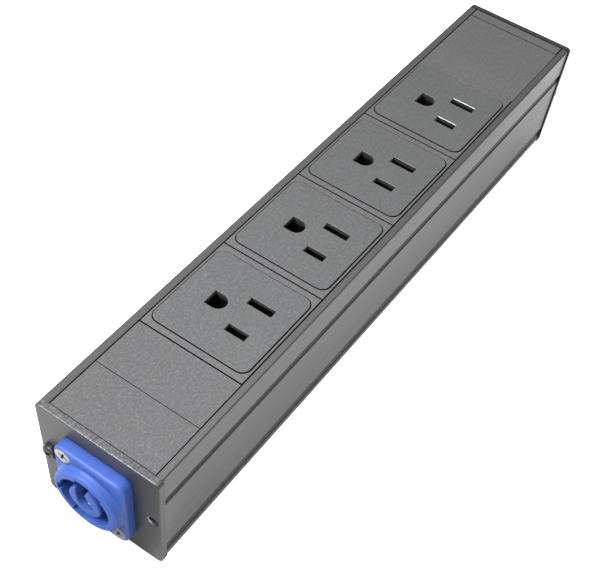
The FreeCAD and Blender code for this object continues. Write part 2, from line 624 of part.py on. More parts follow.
def earth_pin(pin):
    """Stout pin that comes almost to the mouth of the core."""
    stout = box(X_RIM + 0.55, X_RIM + 12.0, -3.0, -1.2, INLET_Z + 0.25, INLET_Z + 2.1)
    stout = stout.common(cyl_x(X_RIM, PIT_Y, PIT_Z, PIT_R - 0.08, 20.0))
    return stout.fuse(bar_x(X_RIM + 11.0, PIN_X1, *pin, *PIN_HALF))


def inlet_contact(front, pin, end):
    """Pin inside the core, cranked outwards to a push-on tab at the rear."""
    crank = bridge_x(*CRANK_X, pin, end, *PIN_HALF)
    return front(pin).fuse(crank).fuse(bar_x(CRANK_X[0], TAB_X1, *end, *TAB_HALF))


def inlet_screw(y, z):
    """M3 countersunk cross-recess screw through flange and cap."""
    head = Part.makeCone(2.95, 1.5, 1.45, Vector(X_FLANGE + 0.12, y, z), Vector(1, 0, 0))
    shank = cyl_x(X_FLANGE + 1.4, y, z, 1.5, 12.0)
    return head.fuse(shank).cut(
        cross_x(X_FLANGE - OVER, X_FLANGE + 1.15, y, z, length=3.3, width=0.8, turn=20))


def inlet_nut(y, z, across_flats=5.5):
    radius = across_flats / math.sqrt(3.0)
    angles = [math.radians(60 * k) for k in range(6)]
    nut = prism_x([(y + radius * math.cos(a), z + radius * math.sin(a)) for a in angles],
                  0.05, 2.45)
    return nut.cut(cyl_x(-OVER, y, z, 1.52, 6))


def push_terminal(y, z):
    """Push-on terminal over an inlet tab, with a crimp barrel at its rear."""
    tab_slot = bar_x(16.0, 25.4, y, z, 2.42, 0.46)
    bore = cyl_x(24.0, y, z, 1.45, 8.0)
    sleeve = bar_x(17.2, 24.2, y, z, 3.0, 1.1).cut(tab_slot)
    sleeve = sleeve.cut(box(16.0, 25.4, y - 1.0, y + 1.0, z, z + 3))
    barrel = cyl_x(25.2, y, z, 1.9, 5.0).cut(bore)
    neck = box(24.0, 25.6, y - 2.0, y + 2.0, z - 1.9, z - 1.1).cut(bore)
    step = box(23.4, 24.4, y - 2.0, y + 2.0, z - 1.9, z - 0.9).cut(tab_slot)
    return sleeve.fuse(step).fuse(neck).fuse(barrel)


save("inlet_housing", inlet_housing())
save("inlet_core", inlet_core())
for name, front, pin, end in zip(("line", "neutral", "earth"),
                                 (slim_pin, slim_pin, earth_pin), PINS, TABS):
    save("inlet_%s_contact" % name, inlet_contact(front, pin, end))
save("inlet_screws", Part.makeCompound([inlet_screw(y, z) for y, z in INLET_SCREWS]))
save("inlet_nuts", Part.makeCompound([inlet_nut(y, z) for y, z in INLET_SCREWS]))
save("inlet_push_terminals", Part.makeCompound([push_terminal(y, z) for y, z in TABS]))

# ------------------------------------------------------------ internal wiring
WIRE_R = 1.35
WIRE_Z = BUS_Z[1] + WIRE_R + 0.05
WIRE_X0, WIRE_X1 = 30.6, 39.2           # ends of the curved run
IN_BARREL, ON_BUSBAR = 4.8, 5.0         # straight lengths before and after it
# name, tab, point on the way, Y of the busbar
WIRES = (
    ("line_wire", TABS[0], (35.2, -6.9, 20.4), BUS_LINE_Y),
    ("neutral_wire", TABS[1], (35.0, 0.8, 20.4), BUS_NEUTRAL_Y),
    ("earth_wire", TABS[2], (35.0, 2.9, 24.3), BUS_EARTH_Y),
)
for name, end, middle, bus_y in WIRES:
    save(name, wire_run([(WIRE_X0, *end), middle, (WIRE_X1, bus_y, WIRE_Z)],
                        WIRE_R, IN_BARREL, ON_BUSBAR))

# ------------------------------------------------- earth bond to the extrusion
LUG_T = 0.8
WASHER_T = 0.5
WASHER_Z = RIB_TOP + LUG_T
BOND_HEAD_Z = WASHER_Z + WASHER_T
BOND_HEAD_H = 2.0
CRIMP_R = 1.75
CRIMP_Z = RIB_TOP + CRIMP_R
BOND_WIRE_R = 1.2


def ring_terminal():
    lug = cyl_z(BOND_X, BOND_Y, RIB_TOP, 3.4, LUG_T)
    lug = lug.fuse(box(BOND_X, BOND_X + 6.0, BOND_Y - 1.7, BOND_Y + 1.7,
                       RIB_TOP, RIB_TOP + LUG_T))
    lug = lug.cut(cyl_z(BOND_X, BOND_Y, RIB_TOP - OVER, 1.85, 4))
    crimp = cyl_x(BOND_X + 5.6, BOND_Y, CRIMP_Z, CRIMP_R, 5.0)
    return lug.fuse(crimp.cut(cyl_x(BOND_X + 5.0, BOND_Y, CRIMP_Z, 1.28, 7.0)))


def toothed_washer():
    washer = cyl_z(BOND_X, BOND_Y, WASHER_Z, 3.2, WASHER_T)
    washer = washer.cut(cyl_z(BOND_X, BOND_Y, RIB_TOP, 1.7, 4))
    for k in range(12):
        angle = math.radians(30 * k)
        washer = washer.cut(cyl_z(BOND_X + 3.35 * math.cos(angle),
                                  BOND_Y + 3.35 * math.sin(angle), RIB_TOP, 0.42, 3))
    return washer


def earth_screw():
    head = cyl_z(BOND_X, BOND_Y, BOND_HEAD_Z, 3.0, BOND_HEAD_H)
    head = head.makeFillet(0.9, edges_at(head, "Z", BOND_HEAD_Z + BOND_HEAD_H))
    screw = head.fuse(cyl_z(BOND_X, BOND_Y, BOND_HEAD_Z - 4.6, 1.62, 4.7))
    z0, z1 = BOND_HEAD_Z + 0.9, BOND_HEAD_Z + BOND_HEAD_H + OVER
    return screw.cut(block_z(BOND_X, BOND_Y, 1.7, 0.4, z0, z1).fuse(
        block_z(BOND_X, BOND_Y, 0.4, 1.7, z0, z1)))


save("earth_ring_terminal", ring_terminal())
save("earth_washer", toothed_washer())
save("earth_screw", earth_screw())
# from the crimp up to the underside of the earth busbar
save("earth_bond_wire", wire_run(
    [(BOND_X + 11.4, BOND_Y, CRIMP_Z), (BOND_X + 19.0, 12.4, 10.2), (BOND_X + 28.0, 7.6, 16.6),
     (BOND_X + 34.0, BUS_EARTH_Y, BUS_Z[0] - BOND_WIRE_R)],
    BOND_WIRE_R, start_len=5.0, end_len=6.0))
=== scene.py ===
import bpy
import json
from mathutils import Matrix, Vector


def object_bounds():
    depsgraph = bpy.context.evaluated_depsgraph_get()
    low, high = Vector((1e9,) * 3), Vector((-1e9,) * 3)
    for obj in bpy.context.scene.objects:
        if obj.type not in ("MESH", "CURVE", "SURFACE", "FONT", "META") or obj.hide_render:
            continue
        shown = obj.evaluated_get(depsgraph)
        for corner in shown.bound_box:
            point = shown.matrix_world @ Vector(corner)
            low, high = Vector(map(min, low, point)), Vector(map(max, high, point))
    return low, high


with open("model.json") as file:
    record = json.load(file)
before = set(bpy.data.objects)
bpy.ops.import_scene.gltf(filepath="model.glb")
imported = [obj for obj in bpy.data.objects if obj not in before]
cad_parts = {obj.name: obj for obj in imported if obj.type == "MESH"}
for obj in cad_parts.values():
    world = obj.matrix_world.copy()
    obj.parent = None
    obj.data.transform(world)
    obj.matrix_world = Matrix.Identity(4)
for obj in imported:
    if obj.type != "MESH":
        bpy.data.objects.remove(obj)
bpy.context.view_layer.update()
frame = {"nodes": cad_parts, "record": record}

import bpy
import bmesh
import json
import math
from mathutils import Matrix, Vector

NODES = frame["nodes"]
MM = 0.001


# ------------------------------------------------------------ node helpers
class Graph:
    """A small wrapper that keeps the material code short."""

    def __init__(self, name):
        self.mat = bpy.data.materials.new(name)
        self.mat.use_nodes = True
        self.nt = self.mat.node_tree
        self.nt.nodes.clear()
        self.out = self.nt.nodes.new("ShaderNodeOutputMaterial")
        self.bsdf = self.nt.nodes.new("ShaderNodeBsdfPrincipled")
        self.nt.links.new(self.bsdf.outputs[0], self.out.inputs["Surface"])
        self.coord = self.nt.nodes.new("ShaderNodeTexCoord").outputs["Object"]

    def node(self, kind, **props):
        n = self.nt.nodes.new(kind)
        for k, v in props.items():
            setattr(n, k, v)
        return n

    def link(self, a, b):
        self.nt.links.new(a, b)

    def put(self, value, socket):
        if hasattr(value, "is_output"):
            self.link(value, socket)
        else:
            socket.default_value = value

    def mapping(self, scale=(1, 1, 1), loc=(0, 0, 0), rot=(0, 0, 0), vec=None):
        m = self.node("ShaderNodeMapping")
        self.link(vec or self.coord, m.inputs["Vector"])
        m.inputs["Scale"].default_value = scale
        m.inputs["Location"].default_value = loc
        m.inputs["Rotation"].default_value = rot
        return m.outputs[0]

    def noise(self, scale, detail=2.0, rough=0.5, vec=None, dist=0.0):
        n = self.node("ShaderNodeTexNoise")
        self.link(vec or self.coord, n.inputs["Vector"])
        n.inputs["Scale"].default_value = scale
        n.inputs["Detail"].default_value = detail
        n.inputs["Roughness"].default_value = rough
        n.inputs["Distortion"].default_value = dist
        return n.outputs["Fac"]

    def voronoi(self, scale, feature="F1", out="Distance", vec=None):
        n = self.node("ShaderNodeTexVoronoi", feature=feature)
        self.link(vec or self.coord, n.inputs["Vector"])
        n.inputs["Scale"].default_value = scale
        return n.outputs[out]

    def ramp(self, fac, stops):
        r = self.node("ShaderNodeValToRGB")
        els = r.color_ramp.elements
        while len(els) > len(stops):
            els.remove(els[-1])
        while len(els) < len(stops):
            els.new(1.0)
        for e, (p, c) in zip(els, stops):
            e.position = p
            e.color = (c, c, c, 1) if not isinstance(c, tuple) else (*c, 1)
        self.link(fac, r.inputs[0])
        return r.outputs[0]

    def maths(self, op, a, b=0.0, c=None, clamp=False):
        m = self.node("ShaderNodeMath", operation=op, use_clamp=clamp)
        self.put(a, m.inputs[0])
        self.put(b, m.inputs[1])
        if c is not None:
            self.put(c, m.inputs[2])
        return m.outputs[0]

    def span(self, v, lo, hi, to_lo=0.0, to_hi=1.0):
        m = self.node("ShaderNodeMapRange")
        self.put(v, m.inputs[0])
        for k, x in zip((1, 2, 3, 4), (lo, hi, to_lo, to_hi)):
            m.inputs[k].default_value = x
        return m.outputs[0]

    def mix(self, fac, a, b, kind="MIX"):
        m = self.node("ShaderNodeMix", data_type="RGBA", blend_type=kind)
        self.put(fac, m.inputs[0])
        self.put(a if hasattr(a, "is_output") else (*a, 1), m.inputs[6])
        self.put(b if hasattr(b, "is_output") else (*b, 1), m.inputs[7])
        return m.outputs[2]

    def bump(self, height, strength, distance, normal=None):
        b = self.node("ShaderNodeBump")
        b.inputs["Strength"].default_value = strength
        b.inputs["Distance"].default_value = distance
        self.link(height, b.inputs["Height"])
        if normal is not None:
            self.link(normal, b.inputs["Normal"])
        return b.outputs[0]

    def edges(self, radius, gain=1.0):
        """(mask that is 1 on convex and concave edges, softened normal)."""
        bev = self.node("ShaderNodeBevel", samples=4)
        bev.inputs["Radius"].default_value = radius
        geo = self.node("ShaderNodeNewGeometry")
        dot = self.node("ShaderNodeVectorMath", operation="DOT_PRODUCT")
        self.link(bev.outputs[0], dot.inputs[0])
        self.link(geo.outputs["True Normal"], dot.inputs[1])
        m = self.span(dot.outputs["Value"], 0.995, 0.80, 0.0, gain)
        return m, bev.outputs[0]

    def crevice_shade(self, distance, lo=0.12, hi=0.62, floor=0.05):
        """Painted shade factor: 1 on open faces, falling towards 0 in seams, slots and corners, where it darkens the
        colour as if in shadow.
        """
        ao = self.node("ShaderNodeAmbientOcclusion", samples=6)
        ao.inputs["Distance"].default_value = distance
        return self.span(ao.outputs["AO"], lo, hi, floor, 1.0)

    def axis(self, k):
        sep = self.node("ShaderNodeSeparateXYZ")
        self.link(self.coord, sep.inputs[0])
        return sep.outputs[k]

    def tint(self, tone, base):
        """Colour 'base' times the grey value 'tone'."""
        c = self.node("ShaderNodeCombineColor")
        for k in range(3):
            self.link(self.maths("MULTIPLY", tone, base[k]), c.inputs[k])
        return c.outputs[0]

    def shade(self, colour, factor):
        m = self.node("ShaderNodeMix", data_type="RGBA", blend_type="MULTIPLY")
        m.inputs[0].default_value = 1.0
        self.put(colour if hasattr(colour, "is_output") else (*colour, 1), m.inputs[6])
        grey = self.node("ShaderNodeCombineColor")
        for k in range(3):
            self.link(factor, grey.inputs[k])
        self.link(grey.outputs[0], m.inputs[7])
        return m.outputs[2]

    def done(self, colour, rough, metal=0.0, normal=None, spec=0.5, **extra):
        b = self.bsdf
        self.put(colour if hasattr(colour, "is_output") else (*colour, 1), b.inputs["Base Color"])
        self.put(rough, b.inputs["Roughness"])
        self.put(metal, b.inputs["Metallic"])
        self.put(spec, b.inputs["Specular IOR Level"])
        for k, v in extra.items():
            self.put(v, b.inputs[k.replace("_", " ")])
        if normal is not None:
            self.link(normal, b.inputs["Normal"])
        return self.mat


def sat(c, k):
    return tuple(max(0.0, min(1.0, x * k)) for x in c)


# ------------------------------------------------------------ materials
def moulded_plastic(name, base, rough=0.52, grain=2300.0, spec=0.24, wear=0.25, depth=0.00004, speck=0.30, fleck=0.28, shade_reach=0.0014, rubbed=0.0):
    """Spark-eroded moulding: fine pits, scattered pale flecks (stronger on the near mouldings as painted glints),
    faint flow mottling, rubbed edges; painted shade on upright faces, in seams, slots and corners and towards the far
    end.
    """
    g = Graph(name)
    fine = g.noise(grain, 3.0, 0.7)
    pits = g.voronoi(grain * 0.55)
    clump = g.noise(grain * 0.42, 2.0, 0.6)
    broad = g.noise(38.0, 3.0, 0.5)
    smear = g.noise(9.0, 2.0, 0.5, vec=g.mapping(scale=(0.35, 1.0, 1.0)))
    far = g.span(g.axis(0), -0.110, 0.045, 1.0, 0.14)      # speckle and pale flecks strongest on the near mouldings: partly coarser texture there, partly painted glints from the near light
    low = g.maths("SUBTRACT", 1.0, g.maths("MULTIPLY", far, speck))
    swing = g.maths("MULTIPLY", far, 2.0 * speck)
    tone = g.maths("ADD", low, g.maths("MULTIPLY", swing, g.span(fine, 0.30, 0.70)))
    tone = g.maths("MULTIPLY", tone, g.span(clump, 0.3, 0.7, 1.0 - 0.5 * speck, 1.0 + 0.5 * speck))
    tone = g.maths("MULTIPLY", tone, g.span(broad, 0.3, 0.7, 0.96, 1.04))
    tone = g.maths("MULTIPLY", tone, g.span(smear, 0.3, 0.7, 0.96, 1.04))
    # painted shade: the mouldings are darkened towards the far end, as the light falls off with distance
    tone = g.maths("MULTIPLY", tone, g.span(g.axis(0), -0.085, 0.12, 1.03, 0.72))
    tone = g.maths("MULTIPLY", tone, g.span(g.axis(0), -0.0880, -0.0855, 0.90, 1.0))
    pale = g.span(g.noise(grain * 0.75, 1.0, 0.5), 0.66, 0.74)
    big = g.span(g.noise(grain * 0.36, 1.0, 0.5), 0.70, 0.76)
    pale = g.maths("MULTIPLY", g.maths("MAXIMUM", pale, big), g.maths("MULTIPLY", far, fleck), clamp=True)
    colour = g.mix(pale, g.tint(tone, base), sat(base, 2.6))
    mask, soft = g.edges(0.00018)
    broken = g.maths("MULTIPLY", mask, g.span(g.noise(260.0, 4.0, 0.7), 0.42, 0.62, 0.15, 1.0))
    colour = g.mix(g.maths("MULTIPLY", broken, wear, clamp=True), colour, sat(base, 1.45))
    flank = g.node("ShaderNodeNewGeometry")      # painted shade: upright faces, most of which stand in narrow seams, are darkened and dulled as if in shadow
    up = g.node("ShaderNodeSeparateXYZ")
    g.link(flank.outputs["True Normal"], up.inputs[0])
    wall = g.span(g.maths("ABSOLUTE", up.outputs[2]), 0.50, 0.25, 0.0, 0.85)
    # distance along the strip from the middle of the outlet, which repeats every 42 mm
    along = g.maths("ABSOLUTE", g.maths("SUBTRACT", g.maths("FLOORED_MODULO", g.maths("ADD", g.axis(0), 0.0856), 0.042), 0.021))
    if rubbed:          # the painted shade on upright faces is weaker inside the plug holes
        rim = g.maths("MAXIMUM", g.span(along, 0.0130, 0.0140), g.span(g.maths("ABSOLUTE", g.axis(1)), 0.0150, 0.0160))
        wall = g.maths("MULTIPLY", wall, g.span(rim, 0.0, 1.0, 0.65, 1.0))
    colour = g.mix(wall, colour, sat(base, 0.12))
    # painted shade: the colour is darkened in seams, slots and corners
    air = g.crevice_shade(shade_reach, 0.20, 0.62, 0.03)
    colour = g.shade(colour, air)
    height = g.maths("ADD", fine, g.maths("MULTIPLY", pits, 0.6))
    r = g.maths("ADD", rough, g.span(broad, 0.3, 0.7, -0.05, 0.05))
    r = g.maths("SUBTRACT", r, g.maths("MULTIPLY", mask, 0.22))
    gloss = g.maths("MULTIPLY", g.maths("MULTIPLY", air, spec), g.maths("SUBTRACT", 1.0, wall))
    if rubbed:          # the sloping lead-ins of the holes are rubbed smooth by plug pins
        geo = g.node("ShaderNodeNewGeometry")
        sep = g.node("ShaderNodeSeparateXYZ")
        g.link(geo.outputs["True Normal"], sep.inputs[0])
        lead = g.maths("MULTIPLY", g.span(sep.outputs[2], 0.95, 0.85), g.span(sep.outputs[2], 0.35, 0.55))
        # only round the two blade slots of each outlet
        lead = g.maths("MULTIPLY", lead, g.span(along, 0.0105, 0.0100))
        lead = g.maths("MULTIPLY", lead, g.span(g.axis(1), -0.0008, -0.0012))
        # most on the far outlet, the one that is used most
        lead = g.maths("MULTIPLY", lead, g.span(g.axis(0), 0.034, 0.042, 0.35 * rubbed, rubbed))
        height = g.maths("MULTIPLY", height, g.maths("SUBTRACT", 1.0, lead))
        r = g.maths("ADD", g.maths("MULTIPLY", r, g.maths("SUBTRACT", 1.0, lead)), g.maths("MULTIPLY", lead, 0.19))
        gloss = g.maths("MAXIMUM", gloss, g.maths("MULTIPLY", lead, 0.33))
        nmix = g.node("ShaderNodeMix", data_type="VECTOR")
        g.link(lead, nmix.inputs[0])
        g.link(soft, nmix.inputs[4])
        g.link(geo.outputs["True Normal"], nmix.inputs[5])
        soft = nmix.outputs[1]
    normal = g.bump(height, 0.55, depth, soft)
    return g.done(colour, r, 0.0, normal, gloss)


def anodised(name, base, rough=0.34, metal=0.85, shade_reach=0.0008):
    """Dark anodised extrusion: draw lines along X, fine blasted grain, worn corners; painted shade in the side grooves
    and slits, on the bottom lip, the upper side band, the +Y side near the near end, along the -Y top edge and in
    crevices.
    """
    g = Graph(name)
    lines = g.noise(900.0, 4.0, 0.7, vec=g.mapping(scale=(0.012, 1.0, 1.0)))
    wide = g.noise(160.0, 3.0, 0.6, vec=g.mapping(scale=(0.02, 1.0, 1.0)))
    grain = g.noise(2600.0, 2.0, 0.6)
    cloud = g.noise(14.0, 3.0, 0.5)
    tone = g.maths("MULTIPLY", g.span(lines, 0.3, 0.7, 0.93, 1.07), g.span(wide, 0.3, 0.7, 0.95, 1.05))
    tone = g.maths("MULTIPLY", tone, g.span(grain, 0.3, 0.7, 0.92, 1.08))
    tone = g.maths("MULTIPLY", tone, g.span(cloud, 0.3, 0.7, 0.97, 1.03))
    colour = g.tint(tone, base)
    mask, soft = g.edges(0.00016)
    rub = g.maths("MULTIPLY", mask, g.span(g.noise(190.0, 5.0, 0.7), 0.52, 0.66, 0.0, 1.0))
    colour = g.mix(g.maths("MULTIPLY", rub, 0.35, clamp=True), colour, sat(base, 1.7))
    side = g.maths("ABSOLUTE", g.axis(1))
    # painted shade: the floors of the side grooves are darkened
    groove_shade = g.maths("MULTIPLY", g.span(side, 0.02205, 0.02195), g.span(side, 0.0205, 0.0210))
    groove_shade = g.maths("MULTIPLY", groove_shade, g.span(g.axis(2), 0.0365, 0.0355))
    colour = g.mix(groove_shade, colour, sat(base, 0.46))
    # painted shade: the narrow slits in the grooves are painted near black
    slit_shade = g.maths("MULTIPLY", g.span(side, 0.021848, 0.021838), g.span(side, 0.0205, 0.0210))
    slit_shade = g.maths("MULTIPLY", slit_shade, g.span(g.axis(2), 0.0365, 0.0355))
    colour = g.mix(slit_shade, colour, sat(base, 0.10))
    # painted shade: the bottom lip below the lower groove is darkened and dulled
    bottom_lip_shade = g.maths("MULTIPLY", g.span(g.axis(2), 0.0028, 0.0022), g.span(side, 0.0195, 0.0205))
    colour = g.mix(bottom_lip_shade, colour, sat(base, 0.55))
    y = g.axis(1)
    # painted shade: a dark line along the top edge on the -Y side, strongest at the near end
    line = g.maths("MULTIPLY", g.span(y, -0.02166, -0.02170), g.span(y, -0.02205, -0.02200))
    line = g.maths("MULTIPLY", line, g.span(g.axis(2), 0.0438, 0.0440))
    colour = g.mix(g.maths("MULTIPLY", line, g.span(g.axis(0), -0.12, 0.08, 0.55, 0.05)), colour, (0.01, 0.01, 0.01))
    # painted shade: the +Y lip and side are darkened towards the near end
    left = g.maths("MULTIPLY", g.span(y, 0.0188, 0.0193), g.span(g.axis(0), -0.02, -0.12, 0.0, 1.0))
    colour = g.mix(left, colour, sat(base, 0.82))
    # painted shade: the side faces above the upper groove are slightly darkened
    upper = g.maths("MULTIPLY", g.span(g.axis(2), 0.0362, 0.0368), g.span(side, 0.0220, 0.0222))
    colour = g.mix(upper, colour, sat(base, 0.92))
    # painted shade: the colour is darkened in seams, grooves and corners
    air = g.crevice_shade(shade_reach, 0.05, 0.70, 0.12)
    colour = g.shade(colour, air)
    height = g.maths("ADD", g.maths("MULTIPLY", lines, 0.8), g.maths("MULTIPLY", grain, 0.7))
    normal = g.bump(height, 0.35, 0.00003, soft)
    r = g.maths("ADD", rough, g.span(lines, 0.3, 0.7, -0.05, 0.06))
    dull = g.maths("SUBTRACT", 1.0, g.maths("MAXIMUM", g.maths("MULTIPLY", bottom_lip_shade, 0.8), slit_shade))
    return g.done(colour, r, g.maths("MULTIPLY", dull, metal), normal,
                  g.maths("MULTIPLY", g.maths("MULTIPLY", air, dull), 0.5))


def plate_finish(name, base, rough=0.36, metal=0.8, spec=0.5, hole=None, chipped=0.35, top_grain=0.0):
    """Blasted and dyed metal plate: salt-and-pepper grain, chipped pale edges; in the given hole a painted near-black
    shade inside the bore and a light grey on its left side that is partly unpainted metal, partly painted highlight;
    painted shade in crevices.
    """
    g = Graph(name)
    peel = g.noise(1500.0, 2.0, 0.5)
    salt = g.noise(2600.0, 3.0, 0.7)
    cloud = g.noise(30.0, 3.0, 0.5)
    tone = g.maths("MULTIPLY", g.span(peel, 0.3, 0.7, 0.93, 1.07), g.span(salt, 0.3, 0.7, 0.88, 1.12))
    tone = g.maths("MULTIPLY", tone, g.span(cloud, 0.3, 0.7, 0.96, 1.04))
    colour = g.tint(tone, base)
    if top_grain:       # the sawn upper edge is coarser and paler than the faces
        geo = g.node("ShaderNodeNewGeometry")
        sep = g.node("ShaderNodeSeparateXYZ")
        g.link(geo.outputs["Normal"], sep.inputs[0])
        up = g.span(sep.outputs[2], 0.75, 0.95)
        flecks = g.span(g.noise(1500.0, 2.0, 0.6), 0.40, 0.66, 0.8, 1.0 + 2.0 * top_grain)
        colour = g.mix(up, colour, g.tint(g.maths("MULTIPLY", tone, flecks), sat(base, 1.0 + top_grain)))
    mask, soft = g.edges(0.0003)
    chip = g.maths("MULTIPLY", mask, g.span(g.noise(520.0, 5.0, 0.75), 0.48, 0.62, 0.0, 1.0))
    colour = g.mix(g.maths("MULTIPLY", chip, chipped, clamp=True), colour, sat(base, 2.0))
    if hole:
        dy = g.maths("SUBTRACT", g.axis(1), hole[0])
        dz = g.maths("SUBTRACT", g.axis(2), hole[1])
        d = g.maths("SQRT", g.maths("ADD", g.maths("MULTIPLY", dy, dy), g.maths("MULTIPLY", dz, dz)))
        wall = g.span(d, 0.00193, 0.00202, 1.0, 0.0)
        lip = g.span(g.axis(0), -0.1270, -0.1269, 1.0, 0.0)
        left = g.span(dy, 0.0003, 0.0012, 0.0, 1.0)
        # painted shade: the bore behind the front face is painted near black, standing in for the dark through the
        # empty hole
        colour = g.mix(g.maths("MULTIPLY", wall, g.maths("SUBTRACT", 1.0, lip)), colour, (0.05, 0.05, 0.05))
        # the front of the bore on its left side is light grey: partly unpainted metal, partly painted highlight where
        # light falls on that side
        lit_bare_bore = g.maths("MULTIPLY", wall, g.maths("MULTIPLY", lip, left))
        colour = g.mix(lit_bare_bore, colour, (0.62, 0.61, 0.59))
    # painted shade: the colour is darkened in corners and crevices
    colour = g.shade(colour, g.crevice_shade(0.0012, floor=0.12))
    normal = g.bump(g.maths("ADD", peel, g.maths("MULTIPLY", salt, 0.5)), 0.35, 0.00004, soft)
    r = g.maths("ADD", rough, g.span(cloud, 0.3, 0.7, -0.04, 0.04))
    return g.done(colour, r, metal, normal, spec)


def satin_polyamide(name, base, shade, rough=0.44):
    """Blue moulding: slight translucency, soft flow marks, polished high spots, painted shade in the bore and corners.
    """
    g = Graph(name)
    flow = g.noise(70.0, 3.0, 0.55, dist=1.2)
    fine = g.noise(2600.0, 2.0, 0.5)
    broad = g.noise(16.0, 2.0, 0.5)
    colour = g.mix(g.span(flow, 0.3, 0.7, 0.0, 0.45), base, shade)
    colour = g.mix(g.span(fine, 0.3, 0.7, 0.0, 0.12), colour, sat(base, 1.25))
    mask, soft = g.edges(0.0006)
    rub = g.maths("MULTIPLY", mask, g.span(g.noise(330.0, 4.0, 0.7), 0.40, 0.62, 0.2, 1.0))
    colour = g.mix(g.maths("MULTIPLY", rub, 0.25, clamp=True), colour, tuple(min(1, x * 1.25 + 0.03) for x in base))
    # painted shade: the blue is darkened strongly in the bore, corners and crevices
    air = g.crevice_shade(0.0045, 0.08, 0.62, 0.10)
    colour = g.shade(colour, air)
    normal = g.bump(g.maths("ADD", fine, g.maths("MULTIPLY", flow, 0.6)), 0.22, 0.00004, soft)
    r = g.maths("ADD", rough, g.span(broad, 0.3, 0.7, -0.05, 0.06))
    return g.done(colour, r, 0.0, normal, g.maths("MULTIPLY", air, 0.32), Subsurface_Weight=0.08, Subsurface_Scale=0.0008)


def bright_metal(name, base, rough=0.26, brushed=(1, 1, 1), tarnish=(0.30, 0.26, 0.2), grime=0.35):
    """Plated or rolled metal: fine brushing, dull patches, painted shade darkening the corners."""
    g = Graph(name)
    lines = g.noise(1400.0, 3.0, 0.6, vec=g.mapping(scale=brushed))
    spots = g.noise(420.0, 4.0, 0.65)
    tone = g.mix(g.span(spots, 0.52, 0.74, 0.0, grime), base, tarnish)
    tone = g.mix(g.span(lines, 0.3, 0.7, 0.0, 0.25), tone, sat(base, 0.72))
    mask, soft = g.edges(0.00012)
    colour = g.mix(g.maths("MULTIPLY", mask, 0.4, clamp=True), tone, tuple(min(1.0, x * 1.15 + 0.05) for x in base))
    # painted shade: the colour is darkened in corners and recesses
    colour = g.shade(colour, g.crevice_shade(0.0009, 0.15, 0.75, 0.10))
    normal = g.bump(lines, 0.25, 0.00002, soft)
    r = g.maths("ADD", rough, g.span(spots, 0.4, 0.75, -0.05, 0.22))
    return g.done(colour, r, 1.0, normal)


def black_oxide(name):
    g = Graph(name)
    fine = g.noise(2600.0, 3.0, 0.6)
    spots = g.noise(500.0, 4.0, 0.6)
    colour = g.mix(g.span(spots, 0.4, 0.7), (0.012, 0.013, 0.013), (0.035, 0.036, 0.034))
    mask, soft = g.edges(0.00012)
    colour = g.mix(g.maths("MULTIPLY", mask, 0.5, clamp=True), colour, (0.13, 0.13, 0.12))
    normal = g.bump(fine, 0.25, 0.00002, soft)
    return g.done(colour, g.span(spots, 0.3, 0.7, 0.28, 0.45), 0.6, normal)


def wire_pvc(name, base):
    g = Graph(name)
    drag = g.noise(700.0, 3.0, 0.6, vec=g.mapping(scale=(0.08, 1, 1)))
    cloud = g.noise(120.0, 3.0, 0.6)
    colour = g.mix(g.span(cloud, 0.3, 0.7), sat(base, 0.85), sat(base, 1.12))
    normal = g.bump(drag, 0.2, 0.00003)
    return g.done(colour, g.span(drag, 0.3, 0.7, 0.34, 0.46), 0.0, normal)


def fibre_sheet(name):
    g = Graph(name)
    fibre = g.noise(600.0, 5.0, 0.7, vec=g.mapping(scale=(0.25, 1, 1)))
    cloud = g.noise(45.0, 3.0, 0.6)
    colour = g.mix(g.span(fibre, 0.3, 0.7), (0.52, 0.49, 0.40), (0.68, 0.65, 0.55))
    colour = g.mix(g.span(cloud, 0.4, 0.7, 0, 0.3), colour, (0.45, 0.40, 0.30))
    normal = g.bump(fibre, 0.3, 0.00004)
    return g.done(colour, 0.6, 0.0, normal)


EMPTY_HOLE = (-0.0198, 0.0229)      # Y, Z of the cap hole without a screw
M = {
    "anodised_body": anodised("anodised_aluminium", (0.086, 0.086, 0.088)),
    "painted_caps": plate_finish("near_cap_finish", (0.064, 0.065, 0.066), rough=0.42, hole=EMPTY_HOLE, chipped=0.2, top_grain=0.22),
    "dark_cap": plate_finish("far_cap_finish", (0.0145, 0.0155, 0.015), metal=0.2, spec=0.27, chipped=0.12),
    "black_screws": black_oxide("black_oxide_steel"),
    "module_plastic": moulded_plastic("module_moulding", (0.068, 0.068, 0.070)),
    "outlet_plastic": moulded_plastic("outlet_moulding", (0.062, 0.063, 0.064), rough=0.48, speck=0.30, fleck=0.45, shade_reach=0.0006, rubbed=1.0),
    "base_plastic": moulded_plastic("black_thermoset", (0.012, 0.012, 0.013), rough=0.6, spec=0.2),
    "inlet_plastic": satin_polyamide("blue_polyamide", (0.0235, 0.064, 0.262), (0.018, 0.051, 0.222)),
    "zinc_fasteners": bright_metal("zinc_plate", (0.42, 0.41, 0.40), rough=0.3),
    "tinned_terminals": bright_metal("tinned_brass", (0.82, 0.80, 0.77), rough=0.3, grime=0.2),
    "line_insulation": wire_pvc("black_wire_pvc", (0.020, 0.020, 0.020)),
    "neutral_insulation": wire_pvc("white_wire_pvc", (0.62, 0.61, 0.58)),
    "earth_insulation": wire_pvc("green_wire_pvc", (0.04, 0.30, 0.08)),
    "liner_sheet": fibre_sheet("fibre_liner"),
    "contact_brass": bright_metal("contact_brass", (0.66, 0.58, 0.42), rough=0.3, brushed=(1, 1, 0.05)),
}

slot_of = {s["node"]: s["material_slot"] for s in frame["record"]["subparts"]}


def dress(obj, slot):
    obj.data.materials.clear()
    obj.data.materials.append(M[slot])


for name, obj in NODES.items():
    dress(obj, slot_of[name])

